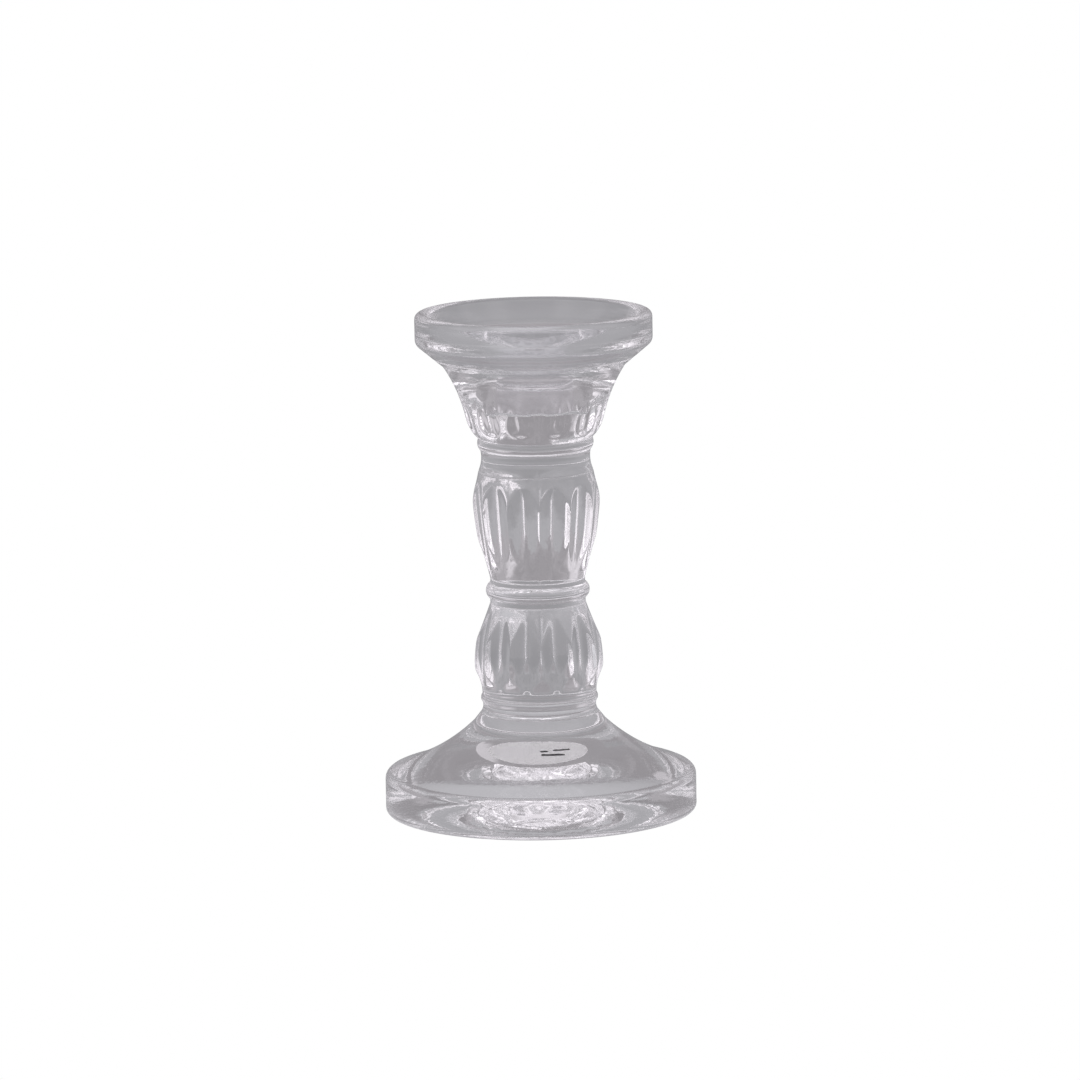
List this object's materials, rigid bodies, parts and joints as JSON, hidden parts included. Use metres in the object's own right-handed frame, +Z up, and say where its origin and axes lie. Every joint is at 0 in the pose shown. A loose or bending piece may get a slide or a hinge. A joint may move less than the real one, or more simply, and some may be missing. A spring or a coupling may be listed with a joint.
{
  "type": "candlestick",
  "caption": "Clear pressed-glass candlestick: bell foot, two fluted knops, tulip nozzle with a taper socket and a shallow drip pan.",
  "frame": {"origin": "on the axis, at the bottom centre, in the plane the foot stands on", "axes": "+Z up along the candlestick's axis, -Y to the front, where a flute ridge faces"},
  "size_m": [0.0928, 0.0928, 0.15],
  "materials": {
    "clear_glass": "polished",
    "label_paper": "matte"
  },
  "bodies": {
    "root": {"foot": "clear_glass", "foot_collar": "clear_glass", "lower_knop": "clear_glass", "middle_ring": "clear_glass", "upper_knop": "clear_glass", "neck": "clear_glass", "neck_ring": "clear_glass", "candle_nozzle": "clear_glass", "drip_pan": "clear_glass", "underside_label": "label_paper"}
  },
  "joints": []
}
